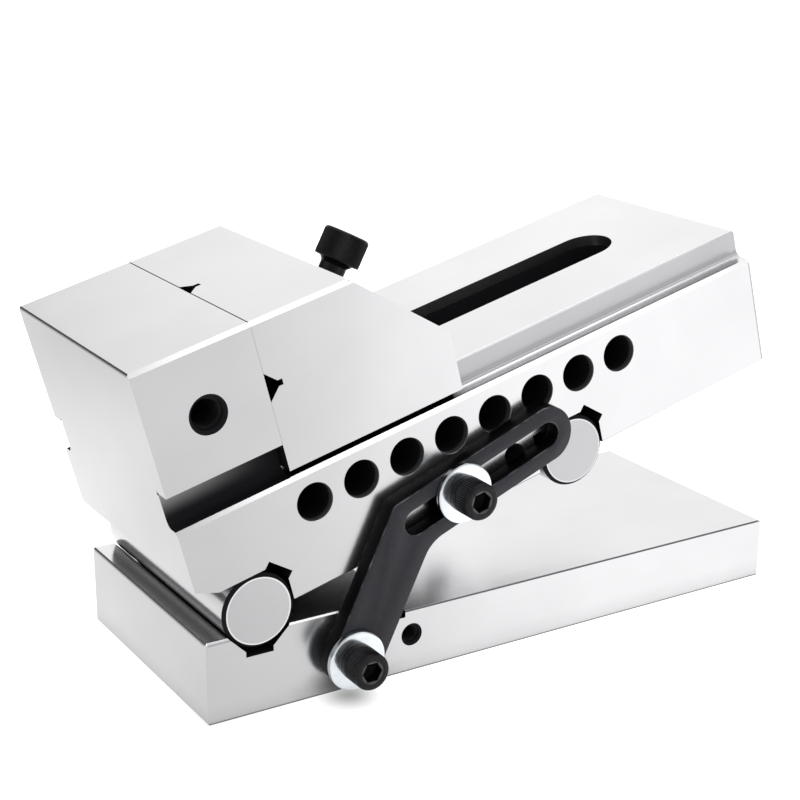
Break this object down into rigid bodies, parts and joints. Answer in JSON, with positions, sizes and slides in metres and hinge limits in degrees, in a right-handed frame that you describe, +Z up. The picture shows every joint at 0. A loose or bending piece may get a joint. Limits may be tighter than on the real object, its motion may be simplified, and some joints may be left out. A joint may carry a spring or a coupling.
{
  "type": "sine vise",
  "caption": "Ground steel sine vise: a toolmaker's vise whose body tilts on two rollers over its own base and is held by a slotted link arm.",
  "frame": {"origin": "middle of the base's underside", "axes": "+X along the base from the hinge end towards the sine roller, +Y away from the link arm, +Z up"},
  "size_m": [0.2, 0.0872, 0.115],
  "materials": {
    "ground_steel": "surface ground",
    "roller_steel": "cylindrically ground",
    "black_oxide": "black oxide",
    "blackened_steel": "satin blackened",
    "zinc_plate": "bright zinc plate"
  },
  "bodies": {
    "base": {"base_plate": "ground_steel"},
    "vise": {"vise_body": "ground_steel", "hinge_roller": "roller_steel", "sine_roller": "roller_steel", "hinge_roller_screws": "black_oxide", "sine_roller_screws": "black_oxide"},
    "jaw": {"movable_jaw": "ground_steel"},
    "screw_seat": {"ball_washer": "black_oxide"},
    "screw": {"clamp_screw": "black_oxide"},
    "nut": {"cross_bar_nut": "black_oxide"},
    "arm": {"link_arm": "blackened_steel"},
    "lower_fastener": {"lower_arm_screw": "black_oxide", "lower_lock_washer": "black_oxide", "lower_arm_washer": "zinc_plate"},
    "upper_fastener": {"upper_arm_screw": "black_oxide", "upper_lock_washer": "black_oxide", "upper_arm_washer": "zinc_plate"}
  },
  "joints": [
    {"name": "vise_tilt", "type": "hinge", "parent": "base", "child": "vise", "pos_m": [-0.0765, 0, 0.028], "axis": [0, -1, 0], "range_deg": [-14.4, 30.6]},
    {"name": "link_arm_turn", "type": "hinge", "parent": "base", "child": "arm", "pos_m": [-0.0518, -0.0391, 0.0105], "axis": [0, -1, 0], "range_deg": [-17.7, 38]},
    {"name": "movable_jaw_slide", "type": "slide", "parent": "vise", "child": "jaw", "axis": [0.9686, 0, 0.2487], "range_m": [0, 0.098]},
    {"name": "clamp_screw_swing", "type": "hinge", "parent": "jaw", "child": "screw_seat", "pos_m": [-0.03498, 0, 0.10133], "axis": [0, -1, 0], "range_deg": [0, 5]},
    {"name": "clamp_screw_turn", "type": "hinge", "parent": "screw_seat", "child": "screw", "pos_m": [-0.03498, 0, 0.10133], "axis": [0.4692, 0, 0.8831], "range_deg": [0, 360]},
    {"name": "nut_travel", "type": "slide", "parent": "screw_seat", "child": "nut", "axis": [-0.4692, 0, -0.8831], "range_m": [0, 0.0013]},
    {"name": "lower_arm_screw_turn", "type": "hinge", "parent": "base", "child": "lower_fastener", "pos_m": [-0.0518, -0.0391, 0.0105], "axis": [0, -1, 0], "range_deg": [0, 360]},
    {"name": "upper_arm_screw_turn", "type": "hinge", "parent": "vise", "child": "upper_fastener", "pos_m": [-0.01904, -0.0391, 0.05029], "axis": [0, -1, 0], "range_deg": [0, 360]}
  ],
  "couplings": [
    {"joint": "link_arm_turn", "follows": "vise_tilt", "ratio": 1.225},
    {"joint": "nut_travel", "follows": "clamp_screw_turn", "m_per_rad": 0.00019894}
  ]
}
